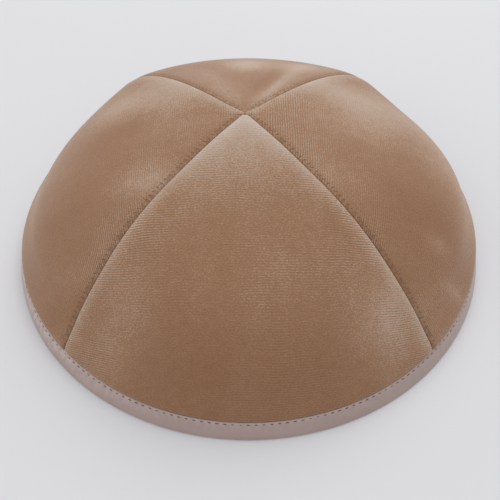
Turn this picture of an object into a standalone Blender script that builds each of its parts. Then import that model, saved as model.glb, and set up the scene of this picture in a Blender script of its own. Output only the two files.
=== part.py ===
"""A velvet kippah: four velvet panels sewn into a dome, and a folded binding round the rim.

Sizes are in metres and +Z is up. The rim stands on z = 0, and the origin is the rim's centre.
The front panel faces -Y. An azimuth is counted in degrees from -Y towards +X.
"""

import math
from collections import namedtuple

import bmesh
import bpy
from mathutils import Vector

# Driving sizes of the cap
RIM_RADIUS = 0.090
CROWN_HEIGHT = 0.0565
CROWN_LEAN = -0.0012

# Cloth of the panels: velvet with its backing, and thinner where the binding presses it
CLOTH_WALL = 0.0020
PRESSED_WALL = 0.0014

# The lip and the soft puff of the cloth just above the binding, fullest at the two sides. It starts
# to rise, and is full, at these shares of its run, counted up from the binding's upper edge.
LIP_RUN = 0.0005
PUFF_RUN = 0.0120
PUFF_HEIGHT = 0.0014
PUFF_SHARE_FRONT = 0.35
PUFF_START = -0.10
PUFF_FULL = 0.15

# Seams: the panel nearer the front lies over its neighbour, and the turned edge slants under it.
# The lap grows to its full width over its run from the tip. A side panel lies over at one seam and
# under at the other, and changes over within this share of its half width.
SEAM_GAP = 0.0004
SEAM_LAP = 0.0007
SEAM_LAP_RUN = 0.0078
SEAM_ROLL_WIDTH = 0.0026
OVER_ROLL_DEPTH = 0.0003
UNDER_ROLL_DEPTH = 0.0010
LAP_BLEND = 0.6
SEAM_FLAT_RUN = 0.0050
TIP_RADIUS = 0.0006

# Binding, a strip folded over the edge of the cloth with a little air on each side of it
BINDING_WIDTH = 0.0070
BINDING_WALL = 0.0010
BINDING_ROUND = 0.0006
FIT_GAP = 0.0003
CHANNEL_DEPTH = BINDING_WALL + 2.0 * FIT_GAP + PRESSED_WALL

# How finely the cloth and the binding are divided
PANEL_ROWS = 21
PUFF_ROWS = (0.18, 0.42, 0.70, 1.00)
PANEL_COLUMNS = 16
ROLL_COLUMNS = 2
ROLL_SHARE_AT_TIP = 0.4
ROW_CROWDING = 1.15
BINDING_STEPS = 96
SHARP_ANGLE = 40.0
SLOPE_STEP = 0.002
SEARCH_STEPS = 30

PANELS = {"panel_front": 0.0, "panel_right": 90.0, "panel_back": 180.0, "panel_left": -90.0}
PANEL_SPAN = 360.0 / len(PANELS)
VELVET_COLOUR = (0.330, 0.210, 0.130, 1.0)
BINDING_COLOUR = (0.340, 0.260, 0.240, 1.0)

# The crown's height at rings from the top to the rim. A ring's reach is a share of RIM_RADIUS.
# The other columns are shares of CROWN_HEIGHT: on the two kinds of seam, and half-way across a panel.
Ring = namedtuple("Ring", "reach front_seam back_seam front_middle side_middle back_middle")
RINGS = (
    Ring(0.00, 1.000, 1.000, 1.000, 1.000, 1.000),
    Ring(0.15, 0.975, 0.995, 0.955, 0.960, 0.955),
    Ring(0.30, 0.905, 0.970, 0.875, 0.890, 0.900),
    Ring(0.45, 0.825, 0.915, 0.790, 0.805, 0.835),
    Ring(0.60, 0.700, 0.815, 0.690, 0.705, 0.750),
    Ring(0.75, 0.510, 0.645, 0.540, 0.560, 0.605),
    Ring(0.87, 0.320, 0.415, 0.340, 0.400, 0.410),
    Ring(0.95, 0.140, 0.185, 0.140, 0.180, 0.185),
    Ring(1.00, 0.000, 0.000, 0.000, 0.000, 0.000),
)

# Soft dents that handling and folding left in the cloth. Half widths are in degrees of azimuth,
# half lengths are shares of RIM_RADIUS, and depths are shares of CROWN_HEIGHT. A swelling is below 0.
# All of them fade out over the last share of the reach, so that the rim stays round.
RIM_FADE = 0.08
Dent = namedtuple("Dent", "azimuth reach half_width half_length depth")
DENTS = (
    Dent(-98.0, 0.92, 24.0, 0.12, 0.036),
    Dent(112.0, 0.78, 36.0, 0.22, -0.032),
    Dent(122.0, 0.81, 8.0, 0.08, 0.026),
    Dent(94.0, 0.88, 12.0, 0.08, -0.034),
    Dent(-120.0, 0.80, 8.0, 0.08, 0.008),
    Dent(160.0, 0.30, 9.0, 0.16, 0.016),
    Dent(-98.0, 0.32, 8.0, 0.18, 0.008),
)


def smoothstep(share):
    """0 below 0, 1 above 1, and a smooth rise between."""
    share = min(max(share, 0.0), 1.0)
    return share * share * (3.0 - 2.0 * share)


def wrapped(azimuth):
    """The same azimuth, from -180 up to 180 degrees."""
    return (azimuth + 180.0) % 360.0 - 180.0


def ring_slope(column, index):
    """Slope of a column at one ring: flat at the top, and the mean of its neighbours' elsewhere."""
    if index == 0:
        return 0.0
    before = RINGS[index - 1]
    after = RINGS[min(index + 1, len(RINGS) - 1)]
    return (getattr(after, column) - getattr(before, column)) / (after.reach - before.reach)


def ring_height(column, reach):
    """A smooth curve through one column of the rings, as a share of CROWN_HEIGHT."""
    index = 0
    while index < len(RINGS) - 2 and RINGS[index + 1].reach < reach:
        index += 1
    low, high = RINGS[index], RINGS[index + 1]
    step = high.reach - low.reach
    t = (reach - low.reach) / step
    start, end = getattr(low, column), getattr(high, column)
    start_slope = ring_slope(column, index) * step
    end_slope = ring_slope(column, index + 1) * step
    blend = t * t * (3.0 - 2.0 * t)
    return (
        start + (end - start) * blend
        + start_slope * t * (1.0 - t) ** 2
        - end_slope * t * t * (1.0 - t)
    )


def dent_depth(radius, azimuth):
    """How far the dents lower the cloth at a place, as a share of CROWN_HEIGHT."""
    depth = 0.0
    for dent in DENTS:
        along = (radius / RIM_RADIUS - dent.reach) / dent.half_length
        across = wrapped(azimuth - dent.azimuth) / dent.half_width
        depth += dent.depth * math.exp(-along * along - across * across)
    return depth


def crown_height(radius, azimuth):
    """Height of the cap's outer face above the table."""
    reach = min(max(radius / RIM_RADIUS, 0.0), 1.0)
    turn = abs(wrapped(azimuth))
    seam = "front_seam" if turn < 90.0 else "back_seam"
    if turn <= PANEL_SPAN / 2.0:
        middle, offset = "front_middle", turn
    elif turn <= 180.0 - PANEL_SPAN / 2.0:
        middle, offset = "side_middle", abs(turn - 90.0)
    else:
        middle, offset = "back_middle", 180.0 - turn
    nearness = (offset / (PANEL_SPAN / 2.0)) ** 2
    middle_height = ring_height(middle, reach)
    share = middle_height + (ring_height(seam, reach) - middle_height) * nearness
    fade = smoothstep((1.0 - reach) / RIM_FADE)
    return CROWN_HEIGHT * (share - dent_depth(radius, azimuth) * fade)


def outward_slope(radius, azimuth):
    """The outer face's normal in its upright plane, as (outward, upward)."""
    step = RIM_RADIUS * SLOPE_STEP
    inner = max(radius - step, 0.0)
    outer = min(radius + step, RIM_RADIUS)
    rise = crown_height(inner, azimuth) - crown_height(outer, azimuth)
    run = outer - inner
    length = math.hypot(rise, run)
    return rise / length, run / length


def lean_at(height):
    """The crown's sideways lean, which grows from nothing at the rim to CROWN_LEAN at the top."""
    return CROWN_LEAN * smoothstep(height / CROWN_HEIGHT)


def cap_point(radius, azimuth, depth=0.0):
    """The point that lies depth inside the cap's outer face at this radius and azimuth."""
    height = crown_height(radius, azimuth)
    outward, upward = outward_slope(radius, azimuth)
    turn = math.radians(azimuth)
    inset = radius - depth * outward
    return Vector((
        inset * math.sin(turn) + lean_at(height),
        -inset * math.cos(turn),
        height - depth * upward,
    ))


def edge_distance(radius, azimuth):
    """Straight distance from the rim's foot up the outer face to this radius."""
    return math.hypot(RIM_RADIUS - radius, crown_height(radius, azimuth))


def radius_at(distance, azimuth):
    """The radius at this straight distance up the outer face from the rim's foot."""
    near, far = RIM_RADIUS, RIM_RADIUS / 2.0
    for _ in range(SEARCH_STEPS):
        middle = (near + far) / 2.0
        if edge_distance(middle, azimuth) < distance:
            near = middle
        else:
            far = middle
    return near


def channel_foot(azimuth):
    """Distance up the outer face to the floor of the binding's fold, one wall thick where thinnest."""
    outward, upward = outward_slope(RIM_RADIUS, azimuth)
    return (BINDING_WALL + CHANNEL_DEPTH * upward) / outward


def above_binding(radius, azimuth, run):
    """0 up to just above the binding, 1 from one run further up on."""
    return smoothstep((edge_distance(radius, azimuth) - BINDING_WIDTH - FIT_GAP) / run)


def puff_height(radius, azimuth):
    """How far the cloth stands out above the tight binding."""
    share = (edge_distance(radius, azimuth) - BINDING_WIDTH) / PUFF_RUN
    side = math.sin(math.radians(azimuth)) ** 2
    fullness = PUFF_SHARE_FRONT + (1.0 - PUFF_SHARE_FRONT) * side
    rise = smoothstep((share - PUFF_START) / (PUFF_FULL - PUFF_START))
    return PUFF_HEIGHT * fullness * rise * (1.0 - smoothstep(share))


def lap_side(middle, across):
    """1 where a panel lies over its neighbour, and 0 where it lies under."""
    if middle % 180.0 == 0.0:
        return 1.0 if middle == 0.0 else 0.0
    towards_back = math.copysign(across, across * middle)
    return smoothstep(0.5 + 0.5 * towards_back / LAP_BLEND)


def skin_depth(radius, azimuth, from_seam, over):
    """How deep the velvet's face lies: under the binding, and in the roll beside a seam."""
    free = above_binding(radius, azimuth, LIP_RUN)
    tucked = (BINDING_WALL + FIT_GAP) * (1.0 - free)
    rolled = 1.0 - smoothstep(from_seam / SEAM_ROLL_WIDTH)
    rolled *= UNDER_ROLL_DEPTH + (OVER_ROLL_DEPTH - UNDER_ROLL_DEPTH) * over
    rolled *= above_binding(radius, azimuth, SEAM_FLAT_RUN)
    return tucked + rolled - puff_height(radius, azimuth) * free


def inner_depth(radius, azimuth):
    """How deep the cloth's inner face lies."""
    pressed = BINDING_WALL + FIT_GAP + PRESSED_WALL
    free = above_binding(radius, azimuth, LIP_RUN)
    return pressed + (CLOTH_WALL - puff_height(radius, azimuth) - pressed) * free


def seam_slant(depth, radius):
    """How far past the seam's plane the upper panel reaches at a depth. It is nothing at the tip."""
    share = (depth - OVER_ROLL_DEPTH) / (CLOTH_WALL - OVER_ROLL_DEPTH)
    lap = SEAM_LAP * smoothstep((radius - TIP_RADIUS) / SEAM_LAP_RUN)
    return lap * (1.0 - 2.0 * min(max(share, 0.0), 1.0))


def seam_distance(across, half_width):
    """Distance from the seam of a column, counted from -1 at one seam to 1 at the other."""
    columns = PANEL_COLUMNS / 2.0
    roll = min(SEAM_ROLL_WIDTH, half_width * ROLL_SHARE_AT_TIP)
    from_edge = (1.0 - abs(across)) * columns
    if from_edge <= ROLL_COLUMNS:
        return roll * from_edge / ROLL_COLUMNS
    rest = (from_edge - ROLL_COLUMNS) / (columns - ROLL_COLUMNS)
    return roll + (half_width - roll) * rest


def row_radius(row, azimuth):
    """The radius of one row of the panel, counted from the cloth's lower edge up to the tip."""
    hem = [
        channel_foot(azimuth) + FIT_GAP,
        BINDING_WIDTH,
        BINDING_WIDTH + FIT_GAP,
        BINDING_WIDTH + FIT_GAP + LIP_RUN,
    ]
    hem += [BINDING_WIDTH + PUFF_RUN * share for share in PUFF_ROWS]
    if row < len(hem):
        return radius_at(hem[row], azimuth)
    start = radius_at(hem[-1], azimuth)
    share = (row - len(hem) + 1) / (PANEL_ROWS - len(hem) + 1)
    return TIP_RADIUS + (start - TIP_RADIUS) * math.cos(share * math.pi / 2.0) ** ROW_CROWDING


def panel_point(middle, across, row, inside):
    """Where a point of a flat slab goes in the panel: across and up it, on its face or inside it."""
    level = row_radius(row, middle)
    half_width = level * math.radians(PANEL_SPAN / 2.0)
    from_seam = seam_distance(across, half_width)
    azimuth = middle + math.copysign(math.degrees((half_width - from_seam) / level), across)
    radius = row_radius(row, azimuth)
    over = lap_side(middle, across)
    if inside:
        depth = inner_depth(radius, azimuth)
    else:
        depth = skin_depth(radius, azimuth, from_seam, over)
    slant = seam_slant(depth + puff_height(radius, azimuth), radius)
    away = SEAM_GAP / 2.0 - slant * (2.0 * over - 1.0)
    away *= 1.0 - smoothstep(from_seam / SEAM_ROLL_WIDTH)
    azimuth -= math.copysign(math.degrees(away / radius), across)
    return cap_point(row_radius(row, azimuth), azimuth, depth)


def new_object(name, bm, material, collection):
    """Turns a bmesh into a smooth-shaded object of the cap."""
    bmesh.ops.recalc_face_normals(bm, faces=bm.faces)
    mesh = bpy.data.meshes.new(name)
    bm.to_mesh(mesh)
    bm.free()
    mesh.materials.append(material)
    mesh.shade_smooth()
    mesh.set_sharp_from_angle(angle=math.radians(SHARP_ANGLE))
    made = bpy.data.objects.new(name, mesh)
    collection.objects.link(made)
    return made


def make_panel(name, middle, material, collection):
    """One velvet panel: a flat slab of cloth, divided as a grid and bent on to the dome."""
    bm = bmesh.new()
    bmesh.ops.create_grid(bm, x_segments=PANEL_COLUMNS, y_segments=PANEL_ROWS, size=1.0)
    extruded = bmesh.ops.extrude_face_region(bm, geom=bm.faces[:], use_keep_orig=True)
    back = [item for item in extruded["geom"] if isinstance(item, bmesh.types.BMVert)]
    bmesh.ops.translate(bm, verts=back, vec=(0.0, 0.0, -1.0))
    for vertex in bm.verts:
        row = round((vertex.co.y + 1.0) / 2.0 * PANEL_ROWS)
        vertex.co = panel_point(middle, vertex.co.x, row, vertex.co.z < -0.5)
    return new_object(name, bm, material, collection)


def binding_section(azimuth):
    """The folded strip's closed outline in one upright plane, from its upper outer edge downwards."""
    floor = channel_foot(azimuth)
    top = radius_at(BINDING_WIDTH, azimuth)
    shoulder = radius_at(BINDING_WIDTH - BINDING_ROUND, azimuth)
    knee = radius_at((floor + BINDING_WIDTH) / 2.0, azimuth)
    fold = radius_at(floor, azimuth)
    foot = radius_at(BINDING_ROUND, azimuth)
    whole = CHANNEL_DEPTH + BINDING_WALL
    outward, _ = outward_slope(RIM_RADIUS, azimuth)
    heel = RIM_RADIUS - whole / outward

    def on_table(radius):
        turn = math.radians(azimuth)
        return Vector((radius * math.sin(turn), -radius * math.cos(turn), 0.0))

    heel_lift = Vector((0.0, 0.0, BINDING_ROUND))
    return [
        cap_point(top, azimuth, BINDING_WALL / 2.0),
        cap_point(shoulder, azimuth),
        cap_point(knee, azimuth),
        cap_point(foot, azimuth),
        on_table(RIM_RADIUS - BINDING_ROUND),
        on_table(heel + BINDING_ROUND),
        on_table(heel) + heel_lift,
        cap_point(knee, azimuth, whole),
        cap_point(shoulder, azimuth, whole),
        cap_point(top, azimuth, whole - BINDING_WALL / 2.0),
        cap_point(shoulder, azimuth, CHANNEL_DEPTH),
        cap_point(knee, azimuth, CHANNEL_DEPTH),
        cap_point(fold, azimuth, CHANNEL_DEPTH),
        cap_point(fold, azimuth, BINDING_WALL),
        cap_point(knee, azimuth, BINDING_WALL),
        cap_point(shoulder, azimuth, BINDING_WALL),
    ]


def make_binding(material, collection):
    """The binding: its folded section lofted once round the rim, where the crown's slope varies."""
    bm = bmesh.new()
    loops = []
    for step in range(BINDING_STEPS):
        azimuth = wrapped(360.0 * step / BINDING_STEPS)
        loops.append([bm.verts.new(point) for point in binding_section(azimuth)])
    for step, loop in enumerate(loops):
        following = loops[(step + 1) % BINDING_STEPS]
        for index, corner in enumerate(loop):
            after = (index + 1) % len(loop)
            bm.faces.new((corner, loop[after], following[after], following[index]))
    return new_object("binding", bm, material, collection)


def make_material(name, colour, roughness):
    """A plain finish with one colour."""
    material = bpy.data.materials.new(name)
    material.use_nodes = True
    shader = material.node_tree.nodes["Principled BSDF"]
    shader.inputs["Base Color"].default_value = colour
    shader.inputs["Roughness"].default_value = roughness
    shader.inputs["Metallic"].default_value = 0.0
    return material


def build():
    for old in list(bpy.data.objects):
        bpy.data.objects.remove(old)
    collection = bpy.data.collections.new("velvet_kippah")
    bpy.context.scene.collection.children.link(collection)
    velvet = make_material("velvet", VELVET_COLOUR, 0.95)
    for name, middle in PANELS.items():
        make_panel(name, middle, velvet, collection)
    make_binding(make_material("binding_leather", BINDING_COLOUR, 0.5), collection)


build()
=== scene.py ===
# %% [markdown]
# # A velvet kippah
# This lesson dresses a finished construction model. The model holds the true sizes: four velvet
# panels, sewn into a dome, and the folded binding round the rim. It is loaded first and never moved.
# Each piece made here takes its place and size from it.

# %% Load the construction model
import math
from collections import namedtuple

import bmesh
import bpy
import numpy as np
from mathutils import Matrix, Vector
from mathutils.bvhtree import BVHTree


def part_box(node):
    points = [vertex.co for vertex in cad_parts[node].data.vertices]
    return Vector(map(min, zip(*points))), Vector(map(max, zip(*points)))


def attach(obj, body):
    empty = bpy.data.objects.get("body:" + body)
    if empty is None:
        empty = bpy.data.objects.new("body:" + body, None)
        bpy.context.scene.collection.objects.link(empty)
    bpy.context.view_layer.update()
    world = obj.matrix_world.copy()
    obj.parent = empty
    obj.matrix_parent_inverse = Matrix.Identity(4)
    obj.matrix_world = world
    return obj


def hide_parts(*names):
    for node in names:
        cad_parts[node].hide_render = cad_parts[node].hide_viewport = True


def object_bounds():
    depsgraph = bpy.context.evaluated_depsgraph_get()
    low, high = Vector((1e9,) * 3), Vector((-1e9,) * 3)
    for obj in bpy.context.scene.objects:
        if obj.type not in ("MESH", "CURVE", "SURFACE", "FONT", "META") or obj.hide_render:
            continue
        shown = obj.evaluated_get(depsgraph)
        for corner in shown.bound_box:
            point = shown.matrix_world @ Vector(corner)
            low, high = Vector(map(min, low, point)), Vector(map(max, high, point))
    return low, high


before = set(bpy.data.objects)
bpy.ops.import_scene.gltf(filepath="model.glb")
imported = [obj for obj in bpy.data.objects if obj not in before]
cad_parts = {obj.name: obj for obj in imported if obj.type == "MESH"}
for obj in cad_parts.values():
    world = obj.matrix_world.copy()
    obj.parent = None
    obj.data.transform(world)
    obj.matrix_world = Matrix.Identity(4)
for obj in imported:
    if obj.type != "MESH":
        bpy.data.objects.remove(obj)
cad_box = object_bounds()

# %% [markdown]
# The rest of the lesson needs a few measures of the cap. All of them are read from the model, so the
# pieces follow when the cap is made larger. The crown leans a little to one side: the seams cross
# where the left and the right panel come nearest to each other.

MILLIMETRE = 0.001
RIM_RADIUS = (cad_box[1][0] - cad_box[0][0]) / 2.0
CROWN_HEIGHT = cad_box[1][2]
APEX_SHIFT = (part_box("panel_right")[0].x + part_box("panel_left")[1].x) / 2.0
BINDING_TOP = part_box("binding")[1].z
DOME_RADIUS = (RIM_RADIUS ** 2 + CROWN_HEIGHT ** 2) / (2.0 * CROWN_HEIGHT)
DOME_CENTRE = CROWN_HEIGHT - DOME_RADIUS
PANELS = {"front": 0.0, "right": 90.0, "back": 180.0, "left": -90.0}
SEAMS = {"front_right": 45.0, "back_right": 135.0, "back_left": -135.0, "front_left": -45.0}
print(f"rim {RIM_RADIUS * 2000:.1f} mm across, crown {CROWN_HEIGHT * 1000:.1f} mm high")
print(f"the cloth follows a ball of {DOME_RADIUS * 1000:.1f} mm radius")


# %% [markdown]
# The camera looks down on the cap from the front, as someone would who has just put it on a table
# and leans over it. It stands close, so the near rim looks wider than the far one. A lens with a
# longer focus from further off would flatten the dome.

# %% Camera
camera_data = bpy.data.cameras.new("camera")
camera_data.sensor_width = 36.0
camera_data.lens = 43.06
camera = bpy.data.objects.new("camera", camera_data)
camera.location = (0.0005, -0.1634, 0.1801)
camera.rotation_euler = (math.radians(40.0), 0.0, 0.0)
bpy.context.scene.collection.objects.link(camera)
bpy.context.scene.camera = camera
bpy.context.scene.view_settings.view_transform = "Standard"

# %% [markdown]
# The light is that of a photographer's table: one large soft source above and behind the cap, a
# weaker one from the left front, and white surroundings that fill the shadows. A small lamp would
# draw hard edges on velvet, whose look comes from broad light that grazes the pile.


# %% Lights
def soft_light(name, place, size, power, aim=(0.0, 0.0, 0.02)):
    """A square soft box that looks at the cap."""
    data = bpy.data.lights.new(name, "AREA")
    data.shape = "SQUARE"
    data.size = size
    data.energy = power
    lamp = bpy.data.objects.new(name, data)
    lamp.location = place
    lamp.rotation_euler = (Vector(aim) - Vector(place)).to_track_quat("-Z", "Y").to_euler()
    bpy.context.scene.collection.objects.link(lamp)
    return lamp


soft_light("window_behind", place=(0.30, 0.90, 1.25), size=1.2, power=11.2)
soft_light("bounce_left", place=(-0.8, -0.5, 0.7), size=0.9, power=1.2)
world = bpy.data.worlds.new("studio")
world.use_nodes = True
world.node_tree.nodes["Background"].inputs["Color"].default_value = (0.97, 0.98, 1.0, 1.0)
world.node_tree.nodes["Background"].inputs["Strength"].default_value = 0.69
bpy.context.scene.world = world


# %% [markdown]
# Every finish in this lesson is wired by hand from small nodes: one step of arithmetic, a blend of
# two colours, an eased rise, a cloudy noise. A few helpers make each of them a single line, so that a
# finish reads from top to bottom.


# %% Helpers for finishes
def feed(tree, socket, value):
    """Gives a socket its value: a plain one, or the output of another node."""
    if isinstance(value, bpy.types.NodeSocket):
        tree.links.new(value, socket)
    else:
        socket.default_value = value


def add_node(tree, kind, settings=None, **values):
    """Adds a node. Settings are its own options. Values go to sockets by name, or by number as n0, n1."""
    node = tree.nodes.new(kind)
    for key, value in (settings or {}).items():
        setattr(node, key, value)
    for key, value in values.items():
        socket = node.inputs[int(key[1:]) if key.startswith("n") else key.replace("_", " ")]
        feed(tree, socket, value)
    return node


def maths(tree, operation, first, second=0.0, third=None, clamp=False):
    """One step of arithmetic, with numbers or sockets as its terms."""
    node = add_node(tree, "ShaderNodeMath", {"operation": operation, "use_clamp": clamp}, n0=first, n1=second)
    if third is not None:
        feed(tree, node.inputs[2], third)
    return node.outputs[0]


def blend_colours(tree, factor, first, second):
    """A colour between two others."""
    node = tree.nodes.new("ShaderNodeMix")
    node.data_type = "RGBA"
    feed(tree, node.inputs[0], factor)
    feed(tree, node.inputs[6], first)
    feed(tree, node.inputs[7], second)
    return node.outputs[2]


def ease(tree, value, low, high, from_value=0.0, to_value=1.0):
    """A smooth rise from one value to another while the input goes from low to high."""
    node = tree.nodes.new("ShaderNodeMapRange")
    node.interpolation_type = "SMOOTHSTEP"
    for index, item in enumerate((value, low, high, from_value, to_value)):
        feed(tree, node.inputs[index], item)
    return node.outputs[0]


def noise(tree, vector, size, detail=2.0, roughness=0.5):
    """Cloudy noise whose spots are about size metres across."""
    return add_node(
        tree, "ShaderNodeTexNoise", Vector=vector, Scale=1.0 / size, Detail=detail, Roughness=roughness
    ).outputs["Fac"]


def new_finish(name, colour, roughness):
    """A material with its shader, and the colour that a plain view shows."""
    made = bpy.data.materials.new(name)
    made.use_nodes = True
    made.diffuse_color = colour
    shader = made.node_tree.nodes["Principled BSDF"]
    shader.inputs["Base Color"].default_value = colour
    shader.inputs["Roughness"].default_value = roughness
    return made, made.node_tree, shader


# %% [markdown]
# Fibres give the pile, the velvet's back, the binding and the thread their grain: tiny light and dark
# specks, and the small bumps that go with them. Several finishes share it, so it is a group of nodes
# with named sockets. It takes the fineness of the specks and serves a deep pile and a thin thread.


# %% Shared grain of fibres
def make_fibre_group():
    """Specks of the given size, as a value around 0.5, and a height for a bump."""
    group = bpy.data.node_groups.new("fibre_grain", "ShaderNodeTree")
    group.interface.new_socket("Vector", in_out="INPUT", socket_type="NodeSocketVector")
    group.interface.new_socket("Fineness", in_out="INPUT", socket_type="NodeSocketFloat")
    group.interface.new_socket("Speck", in_out="OUTPUT", socket_type="NodeSocketFloat")
    group.interface.new_socket("Height", in_out="OUTPUT", socket_type="NodeSocketFloat")
    start = group.nodes.new("NodeGroupInput")
    end = group.nodes.new("NodeGroupOutput")
    fine = add_node(group, "ShaderNodeTexNoise", Vector=start.outputs["Vector"],
                    Scale=start.outputs["Fineness"], Detail=3.0, Roughness=0.65)
    coarse_scale = maths(group, "MULTIPLY", start.outputs["Fineness"], 0.22)
    coarse = add_node(group, "ShaderNodeTexNoise", Vector=start.outputs["Vector"],
                      Scale=coarse_scale, Detail=2.0, Roughness=0.5)
    both = maths(group, "MULTIPLY_ADD", coarse.outputs["Fac"], 0.4,
                 maths(group, "MULTIPLY", fine.outputs["Fac"], 0.6))
    group.links.new(both, end.inputs["Speck"])
    group.links.new(fine.outputs["Fac"], end.inputs["Height"])
    return group


fibre_group = make_fibre_group()


def fibres(tree, vector, size):
    """Places the grain in a finish, with specks about size metres across."""
    node = add_node(tree, "ShaderNodeGroup", {"node_tree": fibre_group})
    tree.links.new(vector, node.inputs["Vector"])
    node.inputs["Fineness"].default_value = 1.0 / size
    return node.outputs["Speck"], node.outputs["Height"]


# %% [markdown]
# The velvet has a short dense pile on a ribbed ground. Where the pile leans away it looks light and
# greyish, and where it leans towards the eye it looks deep brown, so stroking it leaves cloudy
# patches. A cut pile has no other pattern, so the finish adds everything up to one value, the lay of
# the pile, and blends its tones by it. Painted light and shade are added into that value as well, and
# its lightest tone also stands for painted sheen.
#
# The finish reads five things stored on the mesh: a flat map of the cloth and a map that runs along
# the seam, both in metres, the distance from the panel's visible edge, how the pile lies together with
# the painted light and shade, and whether the panel lies over or under its neighbour there.

# %% Velvet: tones, and what the finish reads
DEEP_PILE = (0.270, 0.132, 0.068, 1.0)
MIDDLE_PILE = (0.395, 0.236, 0.145, 1.0)
# The light tone is the pale pile, and also the colour of the painted light and sheen.
LIGHT_PILE_AND_SHEEN = (0.620, 0.525, 0.450, 1.0)
# The parted tone is darker: the pile's roots and the painted shade in the crease.
PARTED_PILE_AND_SHADE = (0.160, 0.090, 0.055, 1.0)
velvet, tree, shader = new_finish("velvet_pile", DEEP_PILE, 0.9)
cloth_map = add_node(tree, "ShaderNodeUVMap", {"uv_map": "cloth"}).outputs["UV"]
seam_map = add_node(tree, "ShaderNodeUVMap", {"uv_map": "seam"}).outputs["UV"]
place = add_node(tree, "ShaderNodeTexCoord").outputs["Object"]
from_edge = add_node(tree, "ShaderNodeAttribute", {"attribute_name": "from_edge"}).outputs["Fac"]
# The stored lay of the pile, with painted light, sheen and shade in it.
nap_and_light = add_node(tree, "ShaderNodeAttribute", {"attribute_name": "nap_and_light"}).outputs["Fac"]
lies_over = add_node(tree, "ShaderNodeAttribute", {"attribute_name": "lies_over"}).outputs["Fac"]

# %% [markdown]
# Ribs cross each panel from seam to seam, one about every 0.85 mm. A wave along the flat map makes
# them, and a slow wobble keeps them from looking ruled. They come and go in patches, and show most
# beside the seams, where the cloth is pulled.

# %% Velvet: ribs
RIB_PITCH = 0.85 * MILLIMETRE
RIB_WOBBLE = 1.6 * MILLIMETRE
PULLED_CLOTH = 24.0 * MILLIMETRE
across_and_along = add_node(tree, "ShaderNodeSeparateXYZ", Vector=cloth_map)
wobble = maths(tree, "MULTIPLY", maths(tree, "SUBTRACT", noise(tree, place, 0.012), 0.5), RIB_WOBBLE)
rib_place = maths(tree, "ADD", across_and_along.outputs["Y"], wobble)
rib_wave = maths(tree, "SINE", maths(tree, "MULTIPLY", rib_place, math.tau / RIB_PITCH))
rib = maths(tree, "MULTIPLY_ADD", rib_wave, 0.5, 0.5)
near_seam = ease(tree, from_edge, 0.0, PULLED_CLOTH, 1.0, 0.0)
rib_patch = ease(tree, noise(tree, place, 0.022, 3.0), 0.36, 0.66)
rib_strength = maths(tree, "MULTIPLY", rib_patch, maths(tree, "MULTIPLY_ADD", near_seam, 0.60, 0.45))
print("velvet: ribs every", RIB_PITCH * 1000, "mm")

# %% [markdown]
# At a seam the panel that lies over has a round turned edge, whose pile fans out. A painted
# highlight lights it as a soft band with short ticks, as if it caught the light. In the crease beside
# it the pile of the lower panel parts, and dark ticks paint its roots together with the shade in the
# crease. Noise stretched across the seam makes both kinds.

# %% Velvet: painted highlight and crease shade at the seams
TICK_WIDTH = 0.9 * MILLIMETRE
tick_map = add_node(tree, "ShaderNodeMapping", Vector=seam_map, Scale=(1.0, 0.30, 1.0)).outputs["Vector"]
ticks = ease(tree, noise(tree, tick_map, TICK_WIDTH, 1.0, 0.5), 0.40, 0.62)
edge = ease(tree, from_edge, 1.2 * MILLIMETRE, 4.0 * MILLIMETRE, 1.0, 0.0)
broad_edge = ease(tree, from_edge, -1.0 * MILLIMETRE, 8.0 * MILLIMETRE, 1.0, 0.0)
edge_ticks = maths(tree, "MULTIPLY", ticks, edge)
# Painted highlight: the turned edge of the panel that lies over is lightened.
painted_edge_highlight = maths(tree, "MULTIPLY_ADD", broad_edge, 0.34, maths(tree, "MULTIPLY", edge_ticks, 0.12))
painted_edge_highlight = maths(tree, "MULTIPLY", painted_edge_highlight, lies_over)
lies_under = maths(tree, "SUBTRACT", 1.0, lies_over)
# Painted shade: dark ticks in the crease on the panel that lies under.
crease = ease(tree, from_edge, 0.0, 0.7 * MILLIMETRE, 1.0, 0.0)
parting_and_crease_shade = maths(tree, "MULTIPLY", maths(tree, "MULTIPLY", ticks, lies_under), crease)

# %% [markdown]
# Four noises disturb the lay, from broad to fine: clouds, strokes of a hand, small tufts and single
# fibres. Each is centred on zero, so it lightens as much as it deepens. The ribs and the painted
# highlight of the turned edges are added as well. The sum then blends from deep to middle and from
# middle to light, and the light tone is also painted sheen. Velvet is never shiny at the root of the
# pile, so nearly all of its gloss is sheen.

# %% Velvet: lay of the pile with painted light and shade, colour and surface
stroke_map = add_node(tree, "ShaderNodeMapping", Vector=cloth_map, Scale=(1.0, 0.40, 1.0)).outputs["Vector"]
tuft_map = add_node(tree, "ShaderNodeMapping", Vector=cloth_map, Scale=(0.80, 1.15, 1.0)).outputs["Vector"]
strokes = noise(tree, stroke_map, 0.020, 2.0, 0.5)
clouds = noise(tree, place, 0.045, 2.0, 0.5)
speck, pile_height = fibres(tree, place, 0.55 * MILLIMETRE)
tufts = ease(tree, noise(tree, tuft_map, 0.50 * MILLIMETRE, 1.0, 0.5), 0.34, 0.66)
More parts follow.
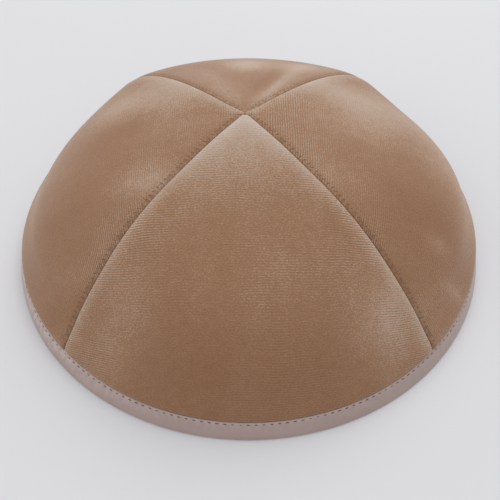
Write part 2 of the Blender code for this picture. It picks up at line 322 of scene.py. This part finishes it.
# The lay starts from the stored spots: pile patches, and painted light, sheen and shade.
lay_and_light = nap_and_light
for value, weight in ((strokes, 0.34), (clouds, 0.28), (speck, 0.50), (tufts, 0.20)):
    lay_and_light = maths(tree, "MULTIPLY_ADD", maths(tree, "SUBTRACT", value, 0.5), weight, lay_and_light)
rib_tone = maths(tree, "MULTIPLY", maths(tree, "SUBTRACT", rib, 0.5), rib_strength)
lay_and_light = maths(tree, "MULTIPLY_ADD", rib_tone, 0.36, lay_and_light)
lay_and_light = maths(tree, "ADD", painted_edge_highlight, lay_and_light)
deep_to_middle = maths(tree, "MULTIPLY_ADD", lay_and_light, 1.6, 0.46, clamp=True)
middle_to_light = maths(tree, "MULTIPLY_ADD", lay_and_light, 1.1, -0.06, clamp=True)
pile_colour = blend_colours(tree, deep_to_middle, DEEP_PILE, MIDDLE_PILE)
pile_colour = blend_colours(tree, middle_to_light, pile_colour, LIGHT_PILE_AND_SHEEN)
# Last the crease ticks darken the colour, painting the shade in the crease.
pile_colour = blend_colours(tree, maths(tree, "MULTIPLY", parting_and_crease_shade, 0.42), pile_colour, PARTED_PILE_AND_SHADE)
tree.links.new(pile_colour, shader.inputs["Base Color"])
shader.inputs["Sheen Weight"].default_value = 0.55
shader.inputs["Sheen Roughness"].default_value = 0.38
shader.inputs["Sheen Tint"].default_value = (1.0, 0.87, 0.77, 1.0)
shader.inputs["Specular IOR Level"].default_value = 0.15
relief = maths(tree, "MULTIPLY_ADD", maths(tree, "MULTIPLY", rib, rib_strength), 0.9,
               maths(tree, "MULTIPLY", pile_height, 0.8))
for height, weight in ((edge_ticks, 1.2), (tufts, 0.9)):
    relief = maths(tree, "MULTIPLY_ADD", height, weight, relief)
bump = add_node(tree, "ShaderNodeBump", Strength=0.65, Distance=0.12 * MILLIMETRE, Height=relief)
tree.links.new(bump.outputs["Normal"], shader.inputs["Normal"])

# %% [markdown]
# The inside shows the velvet's back, a plain close weave of the same dye without the pile. Two fine
# waves at right angles on the flat map of the cloth make its over-and-under look.

# %% Back of the cloth
WEAVE_PITCH = 0.5 * MILLIMETRE
BACK_COLOUR = (0.300, 0.190, 0.125, 1.0)
cloth_back, tree, shader = new_finish("velvet_back", BACK_COLOUR, 0.85)
cloth_map = add_node(tree, "ShaderNodeUVMap", {"uv_map": "cloth"}).outputs["UV"]
threads = add_node(tree, "ShaderNodeSeparateXYZ", Vector=cloth_map)
warp = maths(tree, "SINE", maths(tree, "MULTIPLY", threads.outputs["X"], math.tau / WEAVE_PITCH))
weft = maths(tree, "SINE", maths(tree, "MULTIPLY", threads.outputs["Y"], math.tau / WEAVE_PITCH))
weave = maths(tree, "MULTIPLY_ADD", maths(tree, "MULTIPLY", warp, weft), 0.5, 0.5)
speck, fibre_height = fibres(tree, cloth_map, 0.3 * MILLIMETRE)
tone = maths(tree, "MULTIPLY_ADD", weave, 0.45, maths(tree, "MULTIPLY", speck, 0.55), clamp=True)
tree.links.new(blend_colours(tree, tone, (0.20, 0.125, 0.08, 1.0), (0.40, 0.27, 0.19, 1.0)),
               shader.inputs["Base Color"])
bump = add_node(tree, "ShaderNodeBump", Strength=0.6, Distance=0.08 * MILLIMETRE,
                Height=maths(tree, "MULTIPLY_ADD", weave, 0.7, maths(tree, "MULTIPLY", fibre_height, 0.3)))
tree.links.new(bump.outputs["Normal"], shader.inputs["Normal"])

# %% [markdown]
# The binding is a smooth strip with a low silky gloss, folded over the rim. Pulling it round a curve
# leaves slight creases, mostly along the topstitching. The finish has a fine grain, soft streaks that
# run along the strip, and creases that cross it. Painted highlights make the creases pale, most of all
# at the left front, and light the strip's upper edge as if it caught the light.

# %% Binding finish
BINDING_DARK = (0.300, 0.212, 0.184, 1.0)
BINDING_LIGHT = (0.570, 0.440, 0.405, 1.0)
binding_finish, tree, shader = new_finish("binding_leather", BINDING_DARK, 0.42)
strip = add_node(tree, "ShaderNodeUVMap", {"uv_map": "strip"}).outputs["UV"]
place = add_node(tree, "ShaderNodeTexCoord").outputs["Object"]
crease_pull = add_node(tree, "ShaderNodeAttribute", {"attribute_name": "crease_pull"}).outputs["Fac"]
streak_map = add_node(tree, "ShaderNodeMapping", Vector=strip, Scale=(0.18, 1.0, 1.0)).outputs["Vector"]
streaks = noise(tree, streak_map, 0.003, 3.0)
mottle = noise(tree, place, 0.02, 3.0)
crease_map = add_node(tree, "ShaderNodeMapping", Vector=strip, Scale=(1.0, 0.45, 1.0)).outputs["Vector"]
creases = noise(tree, crease_map, 0.0016, 4.0, 0.6)
speck, grain_height = fibres(tree, place, 0.25 * MILLIMETRE)
tone = maths(tree, "MULTIPLY_ADD", streaks, 0.25, maths(tree, "MULTIPLY", mottle, 0.25))
tone = maths(tree, "MULTIPLY_ADD", speck, 0.20, tone)
# Painted highlights: pale creases and an overall lightening where the stored share is high.
crinkle_highlights = ease(tree, creases, 0.42, 0.62)
tone = maths(tree, "MULTIPLY_ADD", maths(tree, "MULTIPLY", crinkle_highlights, crease_pull), 0.9, tone)
tone = maths(tree, "MULTIPLY_ADD", crease_pull, 0.50, tone)
# Painted highlight: the strip's upper edge is lightened as if it caught the light.
up_strip = add_node(tree, "ShaderNodeSeparateXYZ", Vector=strip).outputs["Y"]
upper_edge_highlight = ease(tree, up_strip, BINDING_TOP * 0.92, BINDING_TOP * 1.12)
tone = maths(tree, "MULTIPLY_ADD", upper_edge_highlight, 0.35, tone, clamp=True)
tree.links.new(blend_colours(tree, tone, BINDING_DARK, BINDING_LIGHT), shader.inputs["Base Color"])
tree.links.new(maths(tree, "MULTIPLY_ADD", streaks, 0.2, 0.32), shader.inputs["Roughness"])
shader.inputs["Sheen Weight"].default_value = 0.15
shader.inputs["Sheen Roughness"].default_value = 0.4
relief = maths(tree, "MULTIPLY_ADD", maths(tree, "MULTIPLY", creases, crease_pull), 3.0,
               maths(tree, "MULTIPLY", grain_height, 0.25))
bump = add_node(tree, "ShaderNodeBump", Strength=0.6, Distance=0.12 * MILLIMETRE, Height=relief)
tree.links.new(bump.outputs["Normal"], shader.inputs["Normal"])

# %% [markdown]
# Thread is spun, so it has a twist that crosses it at a slant. At this size a grain of fibres and a
# dull gloss are enough.


# %% Thread finishes
def thread_finish(name, dark, light):
    """Dull sewing thread in two near tones."""
    made, tree, shader = new_finish(name, dark, 0.7)
    place = add_node(tree, "ShaderNodeTexCoord").outputs["Object"]
    speck, height = fibres(tree, place, 0.12 * MILLIMETRE)
    tree.links.new(blend_colours(tree, speck, dark, light), shader.inputs["Base Color"])
    bump = add_node(tree, "ShaderNodeBump", Strength=0.5, Distance=0.04 * MILLIMETRE, Height=height)
    tree.links.new(bump.outputs["Normal"], shader.inputs["Normal"])
    shader.inputs["Sheen Weight"].default_value = 0.2
    return made


# The seam thread is made dark, so that its stitches also paint the dotted shade along the crease.
seam_thread = thread_finish("seam_thread", (0.090, 0.052, 0.032, 1.0), (0.210, 0.135, 0.088, 1.0))
# The topstitching thread is made nearly black: this dark colour paints the shade of the needle holes.
topstitch_thread = thread_finish("topstitch_thread", (0.050, 0.036, 0.033, 1.0), (0.130, 0.100, 0.092, 1.0))


# %% [markdown]
# Each velvet panel starts as a copy of its construction node. The node's mesh is made of loose
# triangles, so the copy is merged and its triangles are joined to four-sided faces. Subdivision then
# turns the cage into soft cloth and rounds the turned edges at the seams. The helpers below also
# store numbers on the mesh, which is how a shape tells its finish where it is.


# %% Helpers for shaping
def only(piece):
    """Selects one piece alone and makes it the active one."""
    bpy.ops.object.select_all(action="DESELECT")
    piece.select_set(True)
    bpy.context.view_layer.objects.active = piece


def merged_copy(node, name):
    """A copy of a construction node with its triangles merged and joined to four-sided faces."""
    piece = bpy.data.objects.new(name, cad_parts[node].data.copy())
    piece.data.name = name
    piece.data.materials.clear()
    bpy.context.scene.collection.objects.link(piece)
    only(piece)
    if piece.data.has_custom_normals:
        bpy.ops.mesh.customdata_custom_splitnormals_clear()
    bpy.ops.object.mode_set(mode="EDIT")
    bpy.ops.mesh.select_all(action="SELECT")
    bpy.ops.mesh.remove_doubles(threshold=0.01 * MILLIMETRE)
    bpy.ops.mesh.tris_convert_to_quads(face_threshold=math.radians(70.0), shape_threshold=math.radians(70.0))
    bpy.ops.object.mode_set(mode="OBJECT")
    return piece


def subdivide_smoothly(piece, levels):
    """Rounds a cage and keeps the result."""
    only(piece)
    modifier = piece.modifiers.new("soft", "SUBSURF")
    modifier.levels = levels
    modifier.render_levels = levels
    bpy.ops.object.modifier_apply(modifier=modifier.name)
    bpy.ops.object.shade_smooth()
    return piece


def places_of(piece):
    """The places of a piece's points, as rows of x, y, z."""
    points = np.empty(len(piece.data.vertices) * 3)
    piece.data.vertices.foreach_get("co", points)
    return points.reshape(-1, 3)


def store_values(piece, name, values):
    """Stores one number for each point of a piece."""
    attribute = piece.data.attributes.new(name, "FLOAT", "POINT")
    attribute.data.foreach_set("value", np.asarray(values, dtype=np.float32))


def store_map(piece, name, places):
    """Stores a flat map, with a place in metres for each point."""
    corners = np.empty(len(piece.data.loops), dtype=np.int32)
    piece.data.loops.foreach_get("vertex_index", corners)
    layer = piece.data.uv_layers.new(name=name)
    layer.data.foreach_set("uv", places[corners].astype(np.float32).ravel())


# %% [markdown]
# The pile of the real cap doesn't lie evenly, and the light doesn't fall evenly on it. A short table
# paints both as soft spots, lighter or deeper: each row is a spot on one panel, placed by how far it
# is from the crossing along the panel and how far to the side, both as shares of the rim's radius. A
# turn, in degrees, slants a long spot. Some rows are patches where hands left the pile lying
# differently. The strongest light rows are painted light and sheen: near the crossing on the front
# panel, on the far slope of the back panel and on the side panels towards the back. The deep row at
# the foot of the front panel is painted shade.

# %% How the pile lies, with painted light and shade
Spot = namedtuple("Spot", "along aside reach_along reach_aside turn lightness")
# Rows of pile patches and of painted light, sheen and shade.
PILE_AND_LIGHT_SPOTS = {
    "front": (
        Spot(0.06, 0.00, 0.26, 0.28, 0, 0.48),
        Spot(0.91, 0.03, 0.15, 0.40, 0, -0.16),
        Spot(0.67, 0.48, 0.14, 0.12, 0, 0.12),
        Spot(0.68, -0.42, 0.16, 0.10, 0, 0.08),
        Spot(0.40, 0.10, 0.20, 0.16, 0, -0.06),
        Spot(0.68, 0.56, 0.08, 0.07, 0, 0.10),
    ),
    "right": (
        Spot(0.20, 0.08, 0.20, 0.20, 0, 0.10),
        Spot(0.34, 0.26, 0.24, 0.11, 0, 0.34),
        Spot(0.50, 0.10, 0.16, 0.14, 0, 0.20),
        Spot(0.53, -0.27, 0.26, 0.24, 0, -0.12),
        Spot(0.66, 0.28, 0.20, 0.14, 0, 0.34),
        Spot(0.84, 0.06, 0.12, 0.26, 0, 0.16),
        Spot(0.79, -0.38, 0.18, 0.24, 0, -0.22),
        Spot(0.30, -0.26, 0.12, 0.07, 0, 0.14),
        Spot(0.72, -0.36, 0.05, 0.035, 0, 0.26),
        Spot(0.79, -0.48, 0.05, 0.030, 0, 0.24),
    ),
    "back": (
        Spot(0.13, 0.00, 0.12, 0.14, 0, 0.12),
        Spot(0.26, -0.14, 0.18, 0.03, -25, 0.26),
        Spot(0.30, -0.08, 0.16, 0.03, -25, -0.14),
        Spot(0.24, 0.10, 0.16, 0.04, 20, 0.12),
        Spot(0.35, 0.17, 0.10, 0.08, 0, 0.12),
        Spot(0.47, -0.24, 0.09, 0.10, 0, 0.40),
        Spot(0.51, -0.01, 0.10, 0.10, 0, 0.50),
    ),
    "left": (
        Spot(0.20, 0.05, 0.18, 0.20, 0, 0.08),
        Spot(0.30, -0.12, 0.16, 0.12, 0, 0.14),
        Spot(0.34, -0.26, 0.24, 0.11, 0, 0.32),
        Spot(0.36, 0.24, 0.14, 0.08, 0, 0.12),
        Spot(0.52, 0.02, 0.22, 0.16, 0, -0.12),
        Spot(0.57, -0.24, 0.12, 0.10, 0, 0.18),
        Spot(0.76, 0.32, 0.20, 0.24, 0, -0.08),
        Spot(0.30, 0.29, 0.12, 0.07, 0, 0.12),
    ),
}


def smooth_rise(values):
    """0 below 0, 1 above 1, and a smooth rise between."""
    values = np.clip(values, 0.0, 1.0)
    return values * values * (3.0 - 2.0 * values)


def panel_measures(points, azimuth):
    """For each point: distance from the crossing along the panel, and distance to the side."""
    turn = math.radians(azimuth)
    lean = APEX_SHIFT * smooth_rise(points[:, 2] / CROWN_HEIGHT)
    x = points[:, 0] - lean
    y = points[:, 1]
    along = x * math.sin(turn) - y * math.cos(turn)
    aside = x * math.cos(turn) + y * math.sin(turn)
    return along, aside


def pile_lay_and_light(along, aside, spots):
    """How much lighter or deeper the pile looks at each point, painted light and shade included."""
    lay_and_light = np.zeros(len(along))
    for spot in spots:
        turn = math.radians(spot.turn)
        forth = along / RIM_RADIUS - spot.along
        side = aside / RIM_RADIUS - spot.aside
        first = (forth * math.cos(turn) + side * math.sin(turn)) / spot.reach_along
        second = (side * math.cos(turn) - forth * math.sin(turn)) / spot.reach_aside
        lay_and_light += spot.lightness * np.exp(-first ** 2 - second ** 2)
    return lay_and_light


# %% [markdown]
# Soft cloth meets softly. The pile stands proud of the ground cloth, so every outer point is pushed out
# a little along its direction. A point is an outer one when its direction leads away from the middle
# of the ball that the dome follows. At the lip above the binding it is pushed a little more and
# lowered, because there the pile spills over the strip. Beside a seam both panels are drawn together
# until the gap is closed, and the edge that lies under is lifted against the one over it. The front
# panel lies over both its neighbours and the back panel under both. A side panel changes from one to
# the other across its middle.

# %% How the panels meet
FACING_INSIDE = -0.6
FACING_OUTSIDE = -0.1
PILE_SWELL = 0.14 * MILLIMETRE
LIP_SWELL = 0.20 * MILLIMETRE
LIP_HEIGHT = 2.0 * MILLIMETRE
LIP_MIDDLE = 0.5 * MILLIMETRE
LIP_LEVEL = 0.3
LIP_DROP = 0.52 * MILLIMETRE
SEAM_CLOSE = 0.44 * MILLIMETRE
CLOSE_RUN = 2.8 * MILLIMETRE
CLOSE_TURN = 0.3 * MILLIMETRE
UNDER_LIFT = 0.40 * MILLIMETRE
LAP_BLEND = 0.6


def directions_of(piece):
    """The directions of a piece's points."""
    directions = np.empty(len(piece.data.vertices) * 3)
    piece.data.vertices.foreach_get("normal", directions)
    return directions.reshape(-1, 3)


def move_points(piece, points):
    """Gives the points of a piece new places."""
    piece.data.vertices.foreach_set("co", points.ravel())
    piece.data.update()


def swell(piece, amounts):
    """Pushes the points of a piece out along their directions."""
    move_points(piece, places_of(piece) + directions_of(piece) * amounts[:, None])


def overlap(side, share):
    """1 where a panel lies over its neighbour and 0 where it lies under, from the share to the side."""
    if side == "front":
        return np.ones(len(share))
    if side == "back":
        return np.zeros(len(share))
    toward_back = share if side == "right" else -share
    return smooth_rise(0.5 + 0.5 * toward_back / LAP_BLEND)


def seam_measures(along, aside):
    """For each point: distance from the nearer seam, and distance from the crossing along it."""
    return (along - np.abs(aside)) / math.sqrt(2.0), (along + np.abs(aside)) / math.sqrt(2.0)


def raise_pile(piece):
    """Swells the pile and lowers the lip. Returns how far each point is outside and above the lip."""
    points = places_of(piece)
    from_centre = points - np.array((0.0, 0.0, DOME_CENTRE))
    from_centre /= np.linalg.norm(from_centre, axis=1)[:, None]
    facing_out = (directions_of(piece) * from_centre).sum(axis=1)
    outside = smooth_rise((facing_out - FACING_INSIDE) / (FACING_OUTSIDE - FACING_INSIDE))
    above = points[:, 2] - BINDING_TOP
    at_lip = smooth_rise(1.0 - above / LIP_HEIGHT) * (above > -LIP_MIDDLE)
    swell(piece, outside * (PILE_SWELL + LIP_SWELL * at_lip))
    points = places_of(piece)
    off_lip = np.abs(above - LIP_MIDDLE) / LIP_HEIGHT
    points[:, 2] -= LIP_DROP * outside * smooth_rise(1.0 + LIP_LEVEL - off_lip)
    move_points(piece, points)
    return outside, smooth_rise(above / LIP_HEIGHT)


def close_seams(piece, azimuth, lies_over, outer_cloth):
    """Draws a panel towards its two seams, and lifts its outer cloth where it lies under."""
    points = places_of(piece)
    along, aside = panel_measures(points, azimuth)
    from_seam, _ = seam_measures(along, aside)
    near_seam = smooth_rise(1.0 - from_seam / CLOSE_RUN)
    points[:, 2] += UNDER_LIFT * outer_cloth * near_seam * (1.0 - lies_over)
    closing = SEAM_CLOSE * near_seam / math.sqrt(2.0)
    sideways = closing * np.clip(aside / CLOSE_TURN, -1.0, 1.0)
    turn = math.radians(azimuth)
    points[:, 0] += -closing * math.sin(turn) + sideways * math.cos(turn)
    points[:, 1] += closing * math.cos(turn) + sideways * math.sin(turn)
    move_points(piece, points)


# %% [markdown]
# Now the four panels themselves. The narrow tip would draw back from the crossing under subdivision,
# so two cuts near it hold its shape. The flat map of the cloth is unrolled from the ball that the dome
# follows: a rib starts square to the panel's middle line and runs straight to both seams. The map
# along the seam and the distance from the visible edge tell the finish where to part the pile and
# paint the crease shade, and where to paint the highlight of the turned edge. The visible edge is the
# lap's width away from the seam's middle line.

# %% Velvet panels
TIP_CUTS = (1.4 * MILLIMETRE, 3.4 * MILLIMETRE)
LAP = 1.05 * MILLIMETRE
LAP_AT_CROSSING = 0.3
LAP_RUN = 7.8 * MILLIMETRE
FACING_IN = -0.2


def hold_tip(piece, azimuth):
    """Cuts across the panel close to its tip."""
    turn = math.radians(azimuth)
    outward = Vector((math.sin(turn), -math.cos(turn), 0.0))
    only(piece)
    bpy.ops.object.mode_set(mode="EDIT")
    for distance in TIP_CUTS:
        bpy.ops.mesh.select_all(action="SELECT")
        bpy.ops.mesh.bisect(
            plane_co=Vector((APEX_SHIFT, 0.0, CROWN_HEIGHT)) + outward * distance, plane_no=outward
        )
    bpy.ops.object.mode_set(mode="OBJECT")


def store_cloth(piece, side, azimuth, lies_over):
    """Stores a panel's two maps, distance from the edge, and pile lay with painted light."""
    points = places_of(piece)
    along, aside = panel_measures(points, azimuth)
    from_seam, along_seam = seam_measures(along, aside)
    height = points[:, 2] - DOME_CENTRE
    reach = np.hypot(along, height)
    flat = np.stack([np.arctan2(aside, reach), np.arctan2(along, height)], axis=1) * DOME_RADIUS
    store_map(piece, "cloth", flat)
    store_map(piece, "seam", np.stack([along_seam, from_seam], axis=1))
    growth = smooth_rise(along_seam / LAP_RUN)
    lap = LAP * (LAP_AT_CROSSING + (1.0 - LAP_AT_CROSSING) * growth)
    store_values(piece, "from_edge", from_seam + lap * (2.0 * lies_over - 1.0))
    store_values(piece, "nap_and_light", pile_lay_and_light(along, aside, PILE_AND_LIGHT_SPOTS[side]))
    store_values(piece, "lies_over", lies_over)


def velvet_panel(side, azimuth):
    """One soft panel with velvet outside and the plain weave inside."""
    piece = merged_copy(f"panel_{side}", f"velvet_{side}")
    hold_tip(piece, azimuth)
    subdivide_smoothly(piece, 3)
    outside, above_lip = raise_pile(piece)
    along, aside = panel_measures(places_of(piece), azimuth)
    lies_over = overlap(side, aside / np.maximum(along, MILLIMETRE))
    close_seams(piece, azimuth, lies_over, outside * above_lip)
    store_cloth(piece, side, azimuth, lies_over)
    piece.data.materials.append(velvet)
    piece.data.materials.append(cloth_back)
    centre = Vector((0.0, 0.0, DOME_CENTRE))
    for face in piece.data.polygons:
        face.material_index = int(face.normal.dot((face.center - centre).normalized()) < FACING_IN)
    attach(piece, "root")
    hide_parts(f"panel_{side}")
    print(piece.name, len(piece.data.polygons), "faces")
    return piece


panels = {side: velvet_panel(side, azimuth) for side, azimuth in PANELS.items()}

# %% [markdown]
# The binding is copied and softened in the same way, and swells a little towards its upper edge. Its
# flat map runs round the rim and across the strip, which leans inwards and so is a little wider than it
# is high. A share stored on it sets the creases and the painted highlight that makes them pale. Both
# are strongest at the left front, where the strip was stretched most and where the light glints on it.

# %% Binding
BINDING_SWELL = 0.10 * MILLIMETRE
STRIP_SLOPE = 1.15
# Where round the rim the creases and their painted highlight are strongest, and how far they reach.
CREASE_GLINT_AZIMUTH = -58.0
CREASE_GLINT_REACH = 26.0
CREASE_GLINT_ELSEWHERE = 0.15
binding = merged_copy("binding", "binding_strip")
subdivide_smoothly(binding, 2)
points = places_of(binding)
swell(binding, smooth_rise(points[:, 2] / BINDING_TOP) * BINDING_SWELL)
points = places_of(binding)
azimuths = np.arctan2(points[:, 0], -points[:, 1])
store_map(binding, "strip", np.stack([azimuths * RIM_RADIUS, points[:, 2] * STRIP_SLOPE], axis=1))
off_crease_glint = (np.degrees(azimuths) - CREASE_GLINT_AZIMUTH) / CREASE_GLINT_REACH
crease_glint = CREASE_GLINT_ELSEWHERE + (1.0 - CREASE_GLINT_ELSEWHERE) * np.exp(-off_crease_glint ** 2)
near_top = smooth_rise(points[:, 2] / BINDING_TOP / 0.8)
store_values(binding, "crease_pull", crease_glint * near_top * 0.6)
binding.data.materials.append(binding_finish)
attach(binding, "root")
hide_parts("binding")
print("binding:", len(binding.data.polygons), "faces")

# %% [markdown]
# A stitch is a short thick thread with round ends that dive into the cloth. One is modelled as a
# stretched ball, then copied along its line with a turn that follows the surface. To find the
# surface, rays are sent at the finished cloth.


# %% Stitch maker
def stitch_form(length, thickness):
    """One stitch along X, sunk at both ends."""
    bpy.ops.object.select_all(action="DESELECT")
    bpy.ops.mesh.primitive_uv_sphere_add(segments=8, ring_count=6, radius=0.5)
    form = bpy.context.object
    bpy.ops.object.mode_set(mode="EDIT")
    bpy.ops.mesh.select_all(action="SELECT")
    bpy.ops.transform.rotate(
        value=math.pi / 2.0, orient_axis="Y", orient_type="GLOBAL", center_override=(0.0, 0.0, 0.0)
    )
    bpy.ops.transform.resize(value=(length, thickness, thickness))
    bpy.ops.object.mode_set(mode="OBJECT")
    return form


def row_of_stitches(name, form, places, finish):
    """One piece from a stitch and a list of the places where it is sewn."""
    bm = bmesh.new()
    for place in places:
        before = len(bm.verts)
        bm.from_mesh(form.data)
        bm.verts.ensure_lookup_table()
        bmesh.ops.transform(bm, matrix=place, verts=bm.verts[before:])
    mesh = bpy.data.meshes.new(name)
    bm.to_mesh(mesh)
    bm.free()
    mesh.shade_smooth()
    mesh.materials.append(finish)
    piece = bpy.data.objects.new(name, mesh)
    bpy.context.scene.collection.objects.link(piece)
    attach(piece, "root")
    print(name, len(places), "stitches")
    return piece


def frame_on_surface(place, along, outward):
    """A turn and a place: X along the stitch, Z out of the cloth."""
    z_axis = outward.normalized()
    y_axis = z_axis.cross(along).normalized()
    x_axis = y_axis.cross(z_axis)
    return Matrix.Translation(place) @ Matrix((x_axis, y_axis, z_axis)).transposed().to_4x4()


# %% [markdown]
# The topstitching holds the binding to the cloth. It runs round the strip a little under a
# millimetre below its upper edge, with a stitch every 2.5 mm. Hand-fed cloth never takes every stitch
# alike, so their depth varies slowly along the row, by two waves that don't keep step.

# %% Topstitching
TOPSTITCH_PITCH = 2.5 * MILLIMETRE
TOPSTITCH_LENGTH = 1.35 * MILLIMETRE
TOPSTITCH_THICKNESS = 0.42 * MILLIMETRE
TOPSTITCH_DROP = 0.85 * MILLIMETRE
TOPSTITCH_SINK = 0.11 * MILLIMETRE
SINK_CHANGE = 0.05 * MILLIMETRE
form = stitch_form(TOPSTITCH_LENGTH, TOPSTITCH_THICKNESS)
binding_tree = BVHTree.FromPolygons([v.co for v in binding.data.vertices],
                                    [tuple(p.vertices) for p in binding.data.polygons])
stitch_count = round(math.tau * RIM_RADIUS / TOPSTITCH_PITCH)
places = []
for index in range(stitch_count):
    turn = math.tau * index / stitch_count
    outward = Vector((math.sin(turn), -math.cos(turn), 0.0))
    start = outward * RIM_RADIUS * 1.2 + Vector((0.0, 0.0, BINDING_TOP - TOPSTITCH_DROP))
    hit, normal, _, _ = binding_tree.ray_cast(start, -outward)
    along = Vector((math.cos(turn), math.sin(turn), 0.0))
    sink = TOPSTITCH_SINK + SINK_CHANGE * math.sin(index * 0.9) * math.sin(index * 0.23)
    places.append(frame_on_surface(hit - normal * sink, along, normal))
topstitching = row_of_stitches("binding_topstitching", form, places, topstitch_thread)
bpy.data.objects.remove(form)

# %% [markdown]
# The panels are sewn from inside, and the panel nearer the front laps over its neighbour. Beside the
# lap, small slanted stitches show between the fibres of the lower panel. They are sunk a little into
# the cloth, so that only their backs show.

# %% Seam stitches
SEAM_PITCH = 1.8 * MILLIMETRE
SEAM_STITCH_LENGTH = 1.1 * MILLIMETRE
SEAM_STITCH_THICKNESS = 0.34 * MILLIMETRE
SEAM_START = 3.0 * MILLIMETRE
SEAM_END = RIM_RADIUS - 4.2 * MILLIMETRE
SEAM_SLANT = math.radians(38.0)
SEAM_ASIDE = 1.50 * MILLIMETRE
SEAM_SINK = 0.06 * MILLIMETRE
form = stitch_form(SEAM_STITCH_LENGTH, SEAM_STITCH_THICKNESS)
points, faces = [], []
for piece in panels.values():
    first = len(points)
    points.extend(v.co.copy() for v in piece.data.vertices)
    faces.extend(tuple(first + i for i in p.vertices) for p in piece.data.polygons)
cloth_tree = BVHTree.FromPolygons(points, faces)


def cloth_from_above(place):
    """Where a ray from straight above meets the cloth, and the cloth's direction there."""
    start = Vector((place.x, place.y, CROWN_HEIGHT * 2.0))
    hit, normal, _, _ = cloth_tree.ray_cast(start, Vector((0.0, 0.0, -1.0)))
    return hit, normal


def lean_at(height):
    """How far the crown has moved aside at a height."""
    return APEX_SHIFT * float(smooth_rise(np.array(height / CROWN_HEIGHT)))


def seam_places(azimuth):
    """Places of the stitches down one seam, on the panel that lies under."""
    turn = math.radians(azimuth)
    outward = Vector((math.sin(turn), -math.cos(turn), 0.0))
    away_from_front = Vector((math.cos(turn), math.sin(turn), 0.0)) * math.copysign(1.0, azimuth)
    found = []
    radius = SEAM_START
    height = CROWN_HEIGHT
    while radius < SEAM_END:
        place = outward * radius + away_from_front * SEAM_ASIDE
        place.x += lean_at(height)
        hit, normal = cloth_from_above(place)
        height = hit.z
        down = (outward - normal * outward.dot(normal)).normalized()
        aside = normal.cross(down) * math.copysign(1.0, azimuth)
        slanted = (aside * math.cos(SEAM_SLANT) + down * math.sin(SEAM_SLANT)).normalized()
        found.append(frame_on_surface(hit - normal * SEAM_SINK, slanted, normal))
        radius += SEAM_PITCH * down.dot(outward)
    return found


for name, azimuth in SEAMS.items():
    row_of_stitches(f"seam_stitches_{name}", form, seam_places(azimuth), seam_thread)
bpy.data.objects.remove(form)

# %% [markdown]
# The cap stands on a plain pale table top, a single large sheet that runs out of the picture on all
# sides. It isn't part of the cap.

# %% Table top
floor_finish, tree, shader = new_finish("table_top", (0.71, 0.71, 0.72, 1.0), 0.8)
place = add_node(tree, "ShaderNodeTexCoord").outputs["Object"]
tone = noise(tree, place, 0.25, 2.0)
tree.links.new(blend_colours(tree, tone, (0.700, 0.695, 0.705, 1.0), (0.735, 0.732, 0.745, 1.0)),
               shader.inputs["Base Color"])
shader.inputs["Specular IOR Level"].default_value = 0.2
bpy.ops.object.select_all(action="DESELECT")
bpy.ops.mesh.primitive_plane_add(size=6.0)
table_top = bpy.context.object
table_top.name = "table_top"
table_top.data.materials.append(floor_finish)
